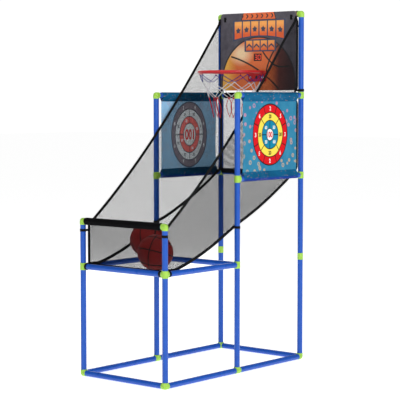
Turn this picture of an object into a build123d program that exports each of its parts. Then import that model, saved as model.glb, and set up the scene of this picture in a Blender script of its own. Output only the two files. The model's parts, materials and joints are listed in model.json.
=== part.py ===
from build123d import *
from math import cos, radians, sin
import os

# Children's arcade basketball stand: a push-fit frame of blue tubes in green
# connectors, black nets, two target cloths, and a printed backboard with a
# hoop and a score unit.  X is the width, the player stands at -Y, Z is up.
# The origin is on the floor, under the middle of the frame.  Sizes are in mm.

# ---- frame: centre lines of the tubes ----
HALF_WIDTH = 210.0
FRONT_Y = -417.0
MID_Y = 5.0
REAR_Y = 417.0
BASE_Z = 12.0
TABLE_Z = 426.0
RAIL_Z = 601.0
MIDDLE_Z = 759.0
UPPER_Z = 1083.0
TOP_Z = 1412.0

# ---- tubes and connectors ----
TUBE_R = 11.0
TUBE_WALL = 0.6
HUB_R = 12.5
HUB_REACH = 14.0
HUB_CHAMFER = 1.2
HUB_STEP = 0.1
SPIGOT_R = TUBE_R - TUBE_WALL - 0.1
SPIGOT_LENGTH = 22.0
SPIGOT_LEAD = 2.0
COUPLER_R = 11.6

# ---- sleeves, nets and cloths ----
SLEEVE_R = 12.5
SLEEVE_BORE_R = 11.3
CLOTH_T = 1.5
NET_T = 1.5
SIDE_NET_X = 195.0
NET_FRONT_Y = -400.0
NET_REAR_Y = 398.0
NET_TOP_Z = 1403.0
NET_FRONT_TOP_Z = 592.0
NET_FRONT_LOW_Z = 430.0
NET_FLAT_LENGTH = 55.0
NET_MID_TIE_Z = 572.0
NET_REAR_LOW_Z = 772.0
NET_EDGE_SAG = 38.0
NET_LOWER_SAG = 13.0
RAMP_HALF_WIDTH = 193.0
RAMP_FLOOR_HALF_WIDTH = 110.0
# From front to rear: y, height of the edges, depth of the middle below them
RAMP_STATIONS = (
    (-398.0, 427.0, 4.0),
    (-340.0, 428.0, 26.0),
    (-245.0, 447.0, 28.0),
    (-150.0, 490.0, 26.0),
    (396.0, 762.0, 18.0),
)
PANEL_HALF_WIDTH = 186.0
FRONT_NET_Y = -402.75
BACK_NET_Y = 404.25
CLOTH_FRONT_Y = 36.0
CLOTH_REAR_Y = 386.0
TIE_WIDTH = 10.0

# ---- backboard, hoop and net ----
BOARD_HALF_WIDTH = 197.5
BOARD_LOW_Z = 1103.0
BOARD_TOP_Z = 1424.0
BOARD_T = 4.5
BOARD_BACK_Y = 404.5
BOARD_FRONT_Y = BOARD_BACK_Y - BOARD_T
BOARD_CORNER_R = 14.0
STRAP_X = 172.5
STRAP_Z = 1399.0
RING_CENTRE = (0.0, 228.0, 1177.0)
RING_R = 132.5
RING_WIRE_R = 5.5
HOOK_COUNT = 8
BRACKET_T = 8.0
BRACKET_FRONT_Y = BOARD_FRONT_Y - BRACKET_T
BRACKET_HALF_WIDTH = 46.0
BRACKET_LOW_Z = 1140.0
BRACKET_TOP_Z = 1184.0
SCREW_X = 32.0
SCREW_Z = 1157.0
SCREW_R = 2.5
SCREW_HOLE_R = 2.7
HOOP_NET_TOP_R = 126.0
HOOP_NET_LOW_R = 71.0
HOOP_NET_TOP_Z = 1160.0
HOOP_NET_LOW_Z = 990.0

# ---- score unit behind the board ----
UNIT_HALF_WIDTH = 55.0
UNIT_LOW_Z = 1178.0
UNIT_TOP_Z = 1275.0
UNIT_WALL = 2.0
UNIT_REAR_Y = REAR_Y + HUB_R
TONGUE_HALF_WIDTH = 15.0
TONGUE_LOW_Z = 1142.0
DISPLAY_Z = 1240.0
DISPLAY_SIZE = (40.0, 30.0)
SENSOR_SIZE = (11.0, 16.0)
CIRCUIT_Y = 413.5
CIRCUIT_T = 1.6
CELL_R = 5.2
CELL_LENGTH = 44.5
CELL_Y = 421.0
CELL_Z = (1193.0, 1205.0)
DOOR_SIZE = (56.0, 32.0)
DOOR_Z = 1199.0
DOOR_GAP = 0.4
SWITCH_POS = (-30.0, 1250.0)
SWITCH_SLOT = (14.0, 5.0)
SWITCH_TRAVEL = 4.0

# ---- balls ----
BALL_R = 68.5
BALL_WALL = 3.0
BALL_CENTRES = ((50.0, -291.0, 487.0), (-67.0, -207.0, 522.0))
SEAM_R = 1.2

SIDES = (-1, 1)
UP = (0, 0, 1)
DOWN = (0, 0, -1)
BACK = (0, 1, 0)
AHEAD = (0, -1, 0)
ACROSS = (1, 0, 0)

# Section of every soft sleeve and tie round a tube
SLEEVE_RING = Circle(SLEEVE_R) - Circle(SLEEVE_BORE_R)


def save(part, label):
    """Name a finished piece and write it."""
    part.label = label
    export_step(part, f"parts/{label}.step")


def inward(side):
    """Direction from a side of the frame towards its middle."""
    return (-side, 0, 0)


def normal_to(direction):
    """A row axis square to a direction that lies along another row axis."""
    return BACK if direction[1] == 0 else UP


# ---------------------------------------------------------------- tubes
def make_tubes(label, runs):
    """Straight tubes, each between the centres of the two connectors it joins."""
    with BuildPart() as tubes:
        for start, end in runs:
            span = Vector(*end) - Vector(*start)
            direction = span.normalized()
            with BuildSketch(Plane(origin=Vector(*start) + direction * HUB_REACH, z_dir=direction)):
                Circle(TUBE_R)
                Circle(TUBE_R - TUBE_WALL, mode=Mode.SUBTRACT)
            extrude(amount=span.length - 2 * HUB_REACH)
    save(tubes.part, label)


def cross_bar(y, z):
    """One bar from side to side."""
    return [((-HALF_WIDTH, y, z), (HALF_WIDTH, y, z))]


def posts(y, low_z, high_z):
    """The left and the right post between two levels."""
    return [((side * HALF_WIDTH, y, low_z), (side * HALF_WIDTH, y, high_z)) for side in SIDES]


def side_bars(z, front_y, rear_y):
    """The left and the right bar between two posts."""
    return [((side * HALF_WIDTH, front_y, z), (side * HALF_WIDTH, rear_y, z)) for side in SIDES]


def make_frame_tubes():
    make_tubes("base_front_tube", cross_bar(FRONT_Y, BASE_Z))
    make_tubes("base_rear_tube", cross_bar(REAR_Y, BASE_Z))
    make_tubes(
        "base_side_tubes",
        side_bars(BASE_Z, FRONT_Y, MID_Y) + side_bars(BASE_Z, MID_Y, REAR_Y),
    )
    make_tubes("front_posts_lower", posts(FRONT_Y, BASE_Z, TABLE_Z))
    make_tubes("front_posts_upper", posts(FRONT_Y, TABLE_Z, RAIL_Z))
    make_tubes("front_rail_tube", cross_bar(FRONT_Y, RAIL_Z))
    make_tubes("table_front_tube", cross_bar(FRONT_Y, TABLE_Z))
    make_tubes("table_cross_tube", cross_bar(MID_Y, TABLE_Z))
    make_tubes("table_side_tubes", side_bars(TABLE_Z, FRONT_Y, MID_Y))
    make_tubes("mid_posts_lower", posts(MID_Y, BASE_Z, TABLE_Z))
    make_tubes("mid_posts_middle", posts(MID_Y, TABLE_Z, MIDDLE_Z))
    make_tubes("mid_posts_upper", posts(MID_Y, MIDDLE_Z, UPPER_Z))
    make_tubes("middle_side_tubes", side_bars(MIDDLE_Z, MID_Y, REAR_Y))
    make_tubes("middle_rear_tube", cross_bar(REAR_Y, MIDDLE_Z))
    make_tubes("upper_side_tubes", side_bars(UPPER_Z, MID_Y, REAR_Y))
    make_tubes("upper_rear_tube", cross_bar(REAR_Y, UPPER_Z))
    make_tubes("rear_posts_lower", posts(REAR_Y, BASE_Z, TABLE_Z))
    make_tubes("rear_posts_middle", posts(REAR_Y, TABLE_Z, MIDDLE_Z))
    make_tubes("rear_posts_upper", posts(REAR_Y, MIDDLE_Z, UPPER_Z))
    make_tubes("rear_posts_top", posts(REAR_Y, UPPER_Z, TOP_Z))
    make_tubes("top_tube", cross_bar(REAR_Y, TOP_Z))


# ----------------------------------------------------------- connectors
def make_connectors(label, y, z, directions_of, hub_r=HUB_R):
    """A left and a right moulded hub, with one spigot for each tube it holds."""
    with BuildPart() as connectors:
        for side in SIDES:
            centre = (side * HALF_WIDTH, y, z)
            for direction in directions_of(side):
                # Arms along X, Y and Z differ by a hair in radius, so they meet in clean curves.
                arm_r = hub_r - HUB_STEP * (2 * abs(direction[0]) + abs(direction[1]))
                with BuildSketch(Plane(origin=centre, x_dir=direction, z_dir=normal_to(direction))):
                    with BuildLine():
                        Polyline(
                            (0, 0),
                            (0, arm_r),
                            (HUB_REACH - HUB_CHAMFER, arm_r),
                            (HUB_REACH, arm_r - HUB_CHAMFER),
                            (HUB_REACH, SPIGOT_R),
                            (HUB_REACH + SPIGOT_LENGTH - SPIGOT_LEAD, SPIGOT_R),
                            (HUB_REACH + SPIGOT_LENGTH, SPIGOT_R - SPIGOT_LEAD / 2),
                            (HUB_REACH + SPIGOT_LENGTH, 0),
                            close=True,
                        )
                    make_face()
                revolve(axis=Axis(centre, direction))
            with Locations(centre):
                Sphere(hub_r - 3 * HUB_STEP)
        # The underside of a floor connector is moulded flat where it stands.
        if z < hub_r:
            split(bisect_by=Plane.XY, keep=Keep.TOP)
    save(connectors.part, label)


def make_frame_connectors():
    make_connectors("base_front_corners", FRONT_Y, BASE_Z, lambda side: (UP, BACK, inward(side)))
    make_connectors("base_side_tees", MID_Y, BASE_Z, lambda side: (UP, BACK, AHEAD))
    make_connectors("base_rear_corners", REAR_Y, BASE_Z, lambda side: (UP, AHEAD, inward(side)))
    make_connectors("table_front_corners", FRONT_Y, TABLE_Z, lambda side: (UP, DOWN, BACK, inward(side)))
    make_connectors("table_mid_crosses", MID_Y, TABLE_Z, lambda side: (UP, DOWN, AHEAD, inward(side)))
    make_connectors("rear_post_couplers", REAR_Y, TABLE_Z, lambda side: (UP, DOWN), hub_r=COUPLER_R)
    make_connectors("front_rail_elbows", FRONT_Y, RAIL_Z, lambda side: (DOWN, inward(side)))
    make_connectors("mid_post_tees", MID_Y, MIDDLE_Z, lambda side: (UP, DOWN, BACK))
    make_connectors("mid_post_elbows", MID_Y, UPPER_Z, lambda side: (DOWN, BACK))
    make_connectors("rear_middle_crosses", REAR_Y, MIDDLE_Z, lambda side: (UP, DOWN, AHEAD, inward(side)))
    make_connectors("rear_upper_crosses", REAR_Y, UPPER_Z, lambda side: (UP, DOWN, AHEAD, inward(side)))
    make_connectors("top_elbows", REAR_Y, TOP_Z, lambda side: (DOWN, inward(side)))


# ----------------------------------------------------- sleeves and nets
def sleeve_start(centre, direction, length):
    """Plane of one end of a sleeve that is centred at a point of its tube."""
    return Plane(origin=Vector(*centre) - Vector(*direction) * (length / 2), z_dir=direction)


def make_rail_sleeve():
    length = 2 * (HALF_WIDTH - HUB_REACH - 1.0)
    with BuildPart() as rail_sleeve:
        extrude(sleeve_start((0, FRONT_Y, RAIL_Z), ACROSS, length) * SLEEVE_RING, amount=length)
    save(rail_sleeve.part, "rail_sleeve")


def make_side_net(side, label):
    """A side net: its long front edge and its two lower edges sag between ties."""
    with BuildPart() as net:
        with BuildSketch(Plane.YZ.offset(side * SIDE_NET_X - NET_T / 2)):
            with BuildLine():
                top = (NET_REAR_Y, NET_TOP_Z)
                front_top = (NET_FRONT_Y, NET_FRONT_TOP_Z)
                mid_tie = (MID_Y, NET_MID_TIE_Z)
                rear_low = (NET_REAR_Y, NET_REAR_LOW_Z)
                front_low = (NET_FRONT_Y + NET_FLAT_LENGTH, NET_FRONT_LOW_Z)
                Line(rear_low, top)
                SagittaArc(top, front_top, NET_EDGE_SAG)
                Polyline(front_top, (NET_FRONT_Y, NET_FRONT_LOW_Z), front_low)
                SagittaArc(front_low, mid_tie, -NET_LOWER_SAG)
                SagittaArc(mid_tie, rear_low, -NET_LOWER_SAG)
            make_face()
        extrude(amount=NET_T)
    save(net.part, label)


def make_ramp_net():
    """The net floor: a shallow trough that slopes from the middle rear bar to the front bar."""
    with BuildPart() as ramp:
        for y, edge_z, depth in RAMP_STATIONS:
            with BuildSketch(Plane.XZ.offset(-y)):
                with BuildLine():
                    Polyline(
                        (-RAMP_HALF_WIDTH, edge_z),
                        (-RAMP_FLOOR_HALF_WIDTH, edge_z - depth),
                        (RAMP_FLOOR_HALF_WIDTH, edge_z - depth),
                        (RAMP_HALF_WIDTH, edge_z),
                        (RAMP_HALF_WIDTH, edge_z - NET_T),
                        (RAMP_FLOOR_HALF_WIDTH, edge_z - depth - NET_T),
                        (-RAMP_FLOOR_HALF_WIDTH, edge_z - depth - NET_T),
                        (-RAMP_HALF_WIDTH, edge_z - NET_T),
                        close=True,
                    )
                make_face()
        loft(ruled=True)
    save(ramp.part, "ramp_net")


def make_front_net():
    low_z = TABLE_Z + 6.0
    high_z = RAIL_Z - 2.0
    with BuildPart() as net:
        with BuildSketch(Plane.XZ.offset(-FRONT_NET_Y - NET_T / 2)):
            with Locations((0, (low_z + high_z) / 2)):
                Rectangle(2 * PANEL_HALF_WIDTH, high_z - low_z)
        extrude(amount=NET_T)
    save(net.part, "front_net")


def make_back_net():
    """The back net hangs from a sleeve on the upper rear bar, in front of the middle one."""
    low_z = MIDDLE_Z - 4.0
    with BuildPart() as net:
        top_sleeve = sleeve_start((0, REAR_Y, UPPER_Z), ACROSS, 2 * PANEL_HALF_WIDTH) * SLEEVE_RING
        extrude(top_sleeve, amount=2 * PANEL_HALF_WIDTH)
        with BuildSketch(Plane.XZ.offset(-BACK_NET_Y - NET_T / 2)):
            with Locations((0, (low_z + UPPER_Z) / 2)):
                Rectangle(2 * PANEL_HALF_WIDTH, UPPER_Z - low_z)
        extrude(amount=NET_T)
    save(net.part, "back_net")


def make_target_cloth(side, label):
    """A printed cloth stretched between sleeves on the upper and the middle side bar."""
    centre_y = (CLOTH_FRONT_Y + CLOTH_REAR_Y) / 2
    width = CLOTH_REAR_Y - CLOTH_FRONT_Y
    overlap = (SLEEVE_R + SLEEVE_BORE_R) / 2
    low_z = MIDDLE_Z + overlap
    high_z = UPPER_Z - overlap
    with BuildPart() as cloth:
        for z in (MIDDLE_Z, UPPER_Z):
            bar_point = (side * HALF_WIDTH, centre_y, z)
            extrude(sleeve_start(bar_point, BACK, width) * SLEEVE_RING, amount=width)
        with BuildSketch(Plane.YZ.offset(side * (HALF_WIDTH + 1.0) - CLOTH_T / 2)):
            with Locations((centre_y, (low_z + high_z) / 2)):
                Rectangle(width, high_z - low_z)
        extrude(amount=CLOTH_T)
    save(cloth.part, label)


def make_net_ties():
    """Hook-and-loop ties that hold the nets to the tubes."""
    beside_hub = HUB_REACH + TIE_WIDTH / 2 + 1.0
    with BuildPart() as ties:
        for side in SIDES:
            post_x = side * HALF_WIDTH
            for point, direction in (
                ((post_x, FRONT_Y, RAIL_Z - 35.0), UP),
                ((post_x, MID_Y, NET_MID_TIE_Z), UP),
                ((post_x, REAR_Y, UPPER_Z + beside_hub), UP),
                ((side * (HALF_WIDTH - beside_hub), REAR_Y, TOP_Z), ACROSS),
                ((side * (HALF_WIDTH - beside_hub), FRONT_Y, TABLE_Z), ACROSS),
                ((post_x, FRONT_Y + beside_hub, TABLE_Z), BACK),
            ):
                extrude(sleeve_start(point, direction, TIE_WIDTH) * SLEEVE_RING, amount=TIE_WIDTH)
    save(ties.part, "net_ties")


# ------------------------------------------------- backboard and hoop
def make_backboard():
    """Fibreboard with slots for the straps, two screw holes, a display window and a sensor hole."""
    with BuildPart() as board:
        with BuildSketch(Plane.XZ.offset(-BOARD_BACK_Y)):
            with Locations((0, (BOARD_LOW_Z + BOARD_TOP_Z) / 2)):
                RectangleRounded(2 * BOARD_HALF_WIDTH, BOARD_TOP_Z - BOARD_LOW_Z, BOARD_CORNER_R)
            with Locations((-STRAP_X, STRAP_Z), (STRAP_X, STRAP_Z)):
                Rectangle(12.0, 8.0, mode=Mode.SUBTRACT)
            with Locations((-SCREW_X, SCREW_Z), (SCREW_X, SCREW_Z)):
                Circle(SCREW_HOLE_R, mode=Mode.SUBTRACT)
            with Locations((0, DISPLAY_Z)):
                Rectangle(DISPLAY_SIZE[0] + 0.6, DISPLAY_SIZE[1] + 0.6, mode=Mode.SUBTRACT)
            with Locations((0, SCREW_Z)):
                Ellipse(SENSOR_SIZE[0] / 2 + 0.3, SENSOR_SIZE[1] / 2 + 0.3, mode=Mode.SUBTRACT)
        extrude(amount=BOARD_T)
    save(board.part, "backboard")


def make_board_straps():
    """Straps through the slots of the board and round the top tube."""
    with BuildPart() as straps:
        for side in SIDES:
            bar_point = (side * STRAP_X, REAR_Y, TOP_Z)
            extrude(sleeve_start(bar_point, ACROSS, TIE_WIDTH) * SLEEVE_RING, amount=TIE_WIDTH)
            with Locations((side * STRAP_X, (BOARD_FRONT_Y + REAR_Y) / 2, STRAP_Z)):
                Box(TIE_WIDTH, REAR_Y - BOARD_FRONT_Y, 1.6)
            with Locations((side * STRAP_X, BOARD_FRONT_Y - 0.75, STRAP_Z)):
                Box(12.0, 1.5, 20.0)
    save(straps.part, "board_straps")


def make_hoop_ring():
    """The hoop, with a hook under it for each loop of the net and two arms to its bracket."""
    ring_x, ring_y, ring_z = RING_CENTRE
    with BuildPart() as ring:
        with Locations(RING_CENTRE):
            Torus(RING_R, RING_WIRE_R)
        for index in range(HOOK_COUNT):
            angle = radians((index + 0.5) * 360.0 / HOOK_COUNT)
            root = (ring_x + RING_R * cos(angle), ring_y + RING_R * sin(angle), ring_z - RING_WIRE_R - 3.5)
            with Locations(Location(root, (0, 0, (index + 0.5) * 360.0 / HOOK_COUNT))):
                Box(3.0, 5.0, 10.0)
            tip = (ring_x + (RING_R + 2.5) * cos(angle), ring_y + (RING_R + 2.5) * sin(angle), root[2] - 4.0)
            with Locations(Location(tip, (0, 0, (index + 0.5) * 360.0 / HOOK_COUNT))):
                Box(6.0, 5.0, 2.5)
        arm_front_y = ring_y + RING_R - 4.0
        for side in SIDES:
            with Locations((side * 24.0, (arm_front_y + BRACKET_FRONT_Y) / 2, ring_z)):
                Box(9.0, BRACKET_FRONT_Y - arm_front_y, 9.0)
    save(ring.part, "hoop_ring")


def make_hoop_bracket():
    with BuildPart() as bracket:
        with BuildSketch(Plane.XZ.offset(-BOARD_FRONT_Y)):
            with Locations((0, (BRACKET_LOW_Z + BRACKET_TOP_Z) / 2)):
                RectangleRounded(2 * BRACKET_HALF_WIDTH, BRACKET_TOP_Z - BRACKET_LOW_Z, 7.0)
            with Locations((-SCREW_X, SCREW_Z), (SCREW_X, SCREW_Z)):
                Circle(SCREW_HOLE_R, mode=Mode.SUBTRACT)
            with Locations((0, SCREW_Z)):
                Ellipse(SENSOR_SIZE[0] / 2 + 0.3, SENSOR_SIZE[1] / 2 + 0.3, mode=Mode.SUBTRACT)
        extrude(amount=BRACKET_T)
        chamfer(bracket.faces().sort_by(Axis.Y)[0].outer_wire().edges(), 1.5)
    save(bracket.part, "hoop_bracket")


def make_bracket_fasteners():
    with BuildPart() as screws:
        with BuildSketch(Plane.XZ.offset(-BRACKET_FRONT_Y)):
            with Locations((-SCREW_X, SCREW_Z), (SCREW_X, SCREW_Z)):
                Circle(5.0)
        extrude(amount=3.2)
        fillet(screws.faces().sort_by(Axis.Y)[:2].edges(), 2.0)
        with BuildSketch(Plane.XZ.offset(-BRACKET_FRONT_Y)):
            with Locations((-SCREW_X, SCREW_Z), (SCREW_X, SCREW_Z)):
                Circle(SCREW_R)
        extrude(amount=-(BRACKET_T + BOARD_T + 6.0))
    save(screws.part, "bracket_screws")
    with BuildPart() as nuts:
        with BuildSketch(Plane.XZ.offset(-BOARD_BACK_Y)):
            with Locations((-SCREW_X, SCREW_Z), (SCREW_X, SCREW_Z)):
                RegularPolygon(4.6, 6)
                Circle(SCREW_R + 0.05, mode=Mode.SUBTRACT)
        extrude(amount=-4.0)
    save(nuts.part, "bracket_nuts")


def make_hoop_net():
    """The envelope of the cord net: a thin open cone."""
    with BuildPart() as net:
        with BuildSketch(Plane.XZ.offset(-RING_CENTRE[1])):
            with BuildLine():
                Polyline(
                    (HOOP_NET_LOW_R, HOOP_NET_LOW_Z),
                    (HOOP_NET_LOW_R + 2.0, HOOP_NET_LOW_Z),
                    (HOOP_NET_TOP_R, HOOP_NET_TOP_Z),
                    (HOOP_NET_TOP_R - 2.0, HOOP_NET_TOP_Z),
                    close=True,
                )
            make_face()
        revolve(axis=Axis((0, RING_CENTRE[1], 0), UP))
    save(net.part, "hoop_net")


# ----------------------------------------------------------- score unit
def make_unit_housing():
    """Open-backed housing with a tongue that reaches down to the ball sensor."""
    depth = UNIT_REAR_Y - UNIT_WALL - BOARD_BACK_Y
    with BuildPart() as housing:
        with BuildSketch(Plane.XZ.offset(-BOARD_BACK_Y)):
            with Locations((0, (UNIT_LOW_Z + UNIT_TOP_Z) / 2)):
                RectangleRounded(2 * UNIT_HALF_WIDTH, UNIT_TOP_Z - UNIT_LOW_Z, 8.0)
            with Locations((0, (TONGUE_LOW_Z + UNIT_LOW_Z + 10.0) / 2)):
                RectangleRounded(2 * TONGUE_HALF_WIDTH, UNIT_LOW_Z + 10.0 - TONGUE_LOW_Z, 4.0)
        extrude(amount=-depth)
        with BuildSketch(Plane.XZ.offset(-BOARD_BACK_Y - UNIT_WALL)):
            with Locations((0, (UNIT_LOW_Z + UNIT_TOP_Z) / 2)):
                RectangleRounded(
                    2 * (UNIT_HALF_WIDTH - UNIT_WALL),
                    UNIT_TOP_Z - UNIT_LOW_Z - 2 * UNIT_WALL,
                    6.0,
                )
            with Locations((0, (TONGUE_LOW_Z + UNIT_LOW_Z + 10.0) / 2)):
                RectangleRounded(
                    2 * (TONGUE_HALF_WIDTH - UNIT_WALL),
                    UNIT_LOW_Z + 10.0 - TONGUE_LOW_Z - 2 * UNIT_WALL,
                    2.0,
                )
        extrude(amount=-depth, mode=Mode.SUBTRACT)
        with BuildSketch(Plane.XZ.offset(-BOARD_BACK_Y)):
            with Locations((0, DISPLAY_Z)):
                Rectangle(DISPLAY_SIZE[0] + 0.6, DISPLAY_SIZE[1] + 0.6)
            with Locations((0, SCREW_Z)):
                Ellipse(SENSOR_SIZE[0] / 2 + 0.3, SENSOR_SIZE[1] / 2 + 0.3)
        extrude(amount=-UNIT_WALL, mode=Mode.SUBTRACT)
    save(housing.part, "score_unit_housing")


def make_unit_cover():
    """Rear cover with the battery opening and the slot of the slide switch."""
    with BuildPart() as cover:
        with BuildSketch(Plane.XZ.offset(-UNIT_REAR_Y)):
            with Locations((0, (UNIT_LOW_Z + UNIT_TOP_Z) / 2)):
                RectangleRounded(2 * UNIT_HALF_WIDTH, UNIT_TOP_Z - UNIT_LOW_Z, 8.0)
            with Locations((0, (TONGUE_LOW_Z + UNIT_LOW_Z + 10.0) / 2)):
                RectangleRounded(2 * TONGUE_HALF_WIDTH, UNIT_LOW_Z + 10.0 - TONGUE_LOW_Z, 4.0)
            with Locations((0, DOOR_Z)):
                Rectangle(DOOR_SIZE[0] + 2 * DOOR_GAP, DOOR_SIZE[1] + 2 * DOOR_GAP, mode=Mode.SUBTRACT)
            with Locations(SWITCH_POS):
                Rectangle(*SWITCH_SLOT, mode=Mode.SUBTRACT)
        extrude(amount=UNIT_WALL)
    save(cover.part, "score_unit_cover")


def make_battery_door():
    with BuildPart() as door:
        with BuildSketch(Plane.XZ.offset(-UNIT_REAR_Y)):
            with Locations((0, DOOR_Z)):
                Rectangle(*DOOR_SIZE)
        extrude(amount=UNIT_WALL)
        with BuildSketch(Plane.XZ.offset(-UNIT_REAR_Y)):
            with Locations((0, DOOR_Z + DOOR_SIZE[1] / 2 - 5.0)):
                SlotOverall(16.0, 4.0)
        extrude(amount=0.8, mode=Mode.SUBTRACT)
    save(door.part, "battery_door")


def make_switch_knob():
    """The knob of the slide switch, at the off end of its slot."""
    knob_x = SWITCH_POS[0] - SWITCH_TRAVEL / 2
    with BuildPart() as knob:
        with Locations((knob_x, (CIRCUIT_Y + CIRCUIT_T + UNIT_REAR_Y) / 2 + 1.0, SWITCH_POS[1])):
            Box(5.0, UNIT_REAR_Y - CIRCUIT_Y - CIRCUIT_T - 3.0, 4.0)
        fillet(knob.faces().sort_by(Axis.Y)[-1].edges(), 0.8)
    save(knob.part, "switch_knob")


def make_unit_electronics():
    with BuildPart() as display:
        with Locations((0, (BOARD_FRONT_Y + CIRCUIT_Y) / 2 - 0.2, DISPLAY_Z)):
            Box(DISPLAY_SIZE[0], CIRCUIT_Y - BOARD_FRONT_Y, DISPLAY_SIZE[1])
    save(display.part, "digit_display")
    with BuildPart() as sensor:
        with BuildSketch(Plane.XZ.offset(-BRACKET_FRONT_Y + 1.0)):
            with Locations((0, SCREW_Z)):
                Ellipse(SENSOR_SIZE[0] / 2, SENSOR_SIZE[1] / 2)
        extrude(amount=-(CIRCUIT_Y - BRACKET_FRONT_Y - 2.0))
        fillet(sensor.faces().sort_by(Axis.Y)[0].edges(), 1.0)
    save(sensor.part, "ball_sensor")
    with BuildPart() as circuit:
        with BuildSketch(Plane.XZ.offset(-CIRCUIT_Y)):
            with Locations((0, (UNIT_LOW_Z + UNIT_TOP_Z) / 2)):
                Rectangle(2 * UNIT_HALF_WIDTH - 12.0, UNIT_TOP_Z - UNIT_LOW_Z - 12.0)
            with Locations((0, (TONGUE_LOW_Z + UNIT_LOW_Z) / 2 + 6.0)):
                Rectangle(2 * TONGUE_HALF_WIDTH - 8.0, UNIT_LOW_Z - TONGUE_LOW_Z)
        extrude(amount=-CIRCUIT_T)
    save(circuit.part, "circuit_board")
    with BuildPart() as buzzer:
        with BuildSketch(Plane.XZ.offset(-CIRCUIT_Y - CIRCUIT_T)):
            with Locations((30.0, 1250.0)):
                Circle(8.0)
                Circle(1.0, mode=Mode.SUBTRACT)
        extrude(amount=-6.0)
    save(buzzer.part, "buzzer")
    with BuildPart() as cells:
        for z in CELL_Z:
            with BuildSketch(Plane(origin=(-CELL_LENGTH / 2, CELL_Y, z), z_dir=(1, 0, 0))):
                Circle(CELL_R)
            extrude(amount=CELL_LENGTH - 1.0)
            with BuildSketch(Plane(origin=(CELL_LENGTH / 2 - 1.0, CELL_Y, z), z_dir=(1, 0, 0))):
                Circle(1.9)
            extrude(amount=1.0)
    save(cells.part, "cells")


# ----------------------------------------------------------------- balls
def make_ball(centre, label):
    """An inflated rubber ball: a hollow shell with its round seams pressed in."""
    with BuildPart() as ball:
        with Locations(centre):
            Sphere(BALL_R)
            Sphere(BALL_R - BALL_WALL, mode=Mode.SUBTRACT)
        for rotation in ((0, 0, 0), (90, 0, 0)):
            with Locations(Location(centre, rotation)):
                Torus(BALL_R, SEAM_R, mode=Mode.SUBTRACT)
    save(ball.part, label)


def main():
    os.makedirs("parts", exist_ok=True)
    make_frame_tubes()
    make_frame_connectors()
    make_rail_sleeve()
    make_side_net(-1, "side_net_left")
    make_side_net(1, "side_net_right")
    make_ramp_net()
    make_front_net()
    make_back_net()
    make_target_cloth(-1, "target_cloth_left")
    make_target_cloth(1, "target_cloth_right")
    make_net_ties()
    make_backboard()
    make_board_straps()
    make_hoop_ring()
    make_hoop_bracket()
    make_bracket_fasteners()
    make_hoop_net()
    make_unit_housing()
    make_unit_cover()
    make_battery_door()
    make_switch_knob()
    make_unit_electronics()
    make_ball(BALL_CENTRES[0], "ball_front")
    make_ball(BALL_CENTRES[1], "ball_rear")


main()
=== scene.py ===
import json
from functools import cache
from math import acos, ceil, cos, hypot, pi, radians, sin, sqrt, tan

import bpy
import numpy as np
from mathutils import Matrix, Vector, noise


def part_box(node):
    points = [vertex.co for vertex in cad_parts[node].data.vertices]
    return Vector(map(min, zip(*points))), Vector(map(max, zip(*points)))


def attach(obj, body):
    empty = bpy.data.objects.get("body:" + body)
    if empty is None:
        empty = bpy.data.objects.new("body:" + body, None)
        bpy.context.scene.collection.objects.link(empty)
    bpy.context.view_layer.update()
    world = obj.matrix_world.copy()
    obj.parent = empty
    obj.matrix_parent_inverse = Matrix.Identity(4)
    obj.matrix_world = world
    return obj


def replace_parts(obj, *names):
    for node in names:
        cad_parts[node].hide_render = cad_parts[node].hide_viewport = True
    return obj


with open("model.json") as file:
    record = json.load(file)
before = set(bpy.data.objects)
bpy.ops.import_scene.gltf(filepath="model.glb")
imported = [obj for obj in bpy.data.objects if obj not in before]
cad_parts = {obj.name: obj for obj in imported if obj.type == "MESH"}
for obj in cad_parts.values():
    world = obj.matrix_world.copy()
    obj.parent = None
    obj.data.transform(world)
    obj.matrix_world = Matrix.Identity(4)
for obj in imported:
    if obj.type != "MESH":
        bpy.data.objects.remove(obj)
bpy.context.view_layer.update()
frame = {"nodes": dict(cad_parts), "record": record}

# Looks of a children's arcade basketball stand, in metres, in the frame of the
# CAD model: X is the width, the player stands at -Y, Z is up.

ACROSS = Vector((1, 0, 0))
BACK = Vector((0, 1, 0))
UP = Vector((0, 0, 1))
SIDES = (-1, 1)


def held(value):
    """The value, held between 0 and 1."""
    return min(max(value, 0.0), 1.0)


def arch(share):
    """0 at both ends of a run and 1 at its middle."""
    return 4 * share * (1 - share)


def square_to(axis):
    """Two directions at right angles to an axis and to each other."""
    side = axis.cross(UP).normalized() if abs(axis.z) < 0.9 else ACROSS
    return side, side.cross(axis)


def put_in_scene(name, data):
    """A new object with this data, at the origin."""
    obj = bpy.data.objects.new(name, data)
    bpy.context.scene.collection.objects.link(obj)
    return obj


# ------------------------------------------------------------ places
@cache
def low(node):
    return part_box(node)[0]


@cache
def high(node):
    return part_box(node)[1]


@cache
def middle(node):
    return (low(node) + high(node)) / 2


def solids(node):
    """Boxes (low, high) of the separate solids of one CAD node."""
    mesh = frame["nodes"][node].data
    owner = {}

    def root_of(key):
        while owner[key] != key:
            owner[key] = owner[owner[key]]
            key = owner[key]
        return key

    keys = [tuple(round(c, 5) for c in vertex.co) for vertex in mesh.vertices]
    for key in keys:
        owner.setdefault(key, key)
    for face in mesh.polygons:
        first = root_of(keys[face.vertices[0]])
        for index in face.vertices[1:]:
            owner[root_of(keys[index])] = first
    groups = {}
    for key in owner:
        groups.setdefault(root_of(key), []).append(key)
    boxes = [(Vector(np.min(g, axis=0)), Vector(np.max(g, axis=0))) for g in groups.values()]
    return sorted(boxes, key=lambda box: tuple(round(c, 4) for c in box[0]))


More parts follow.
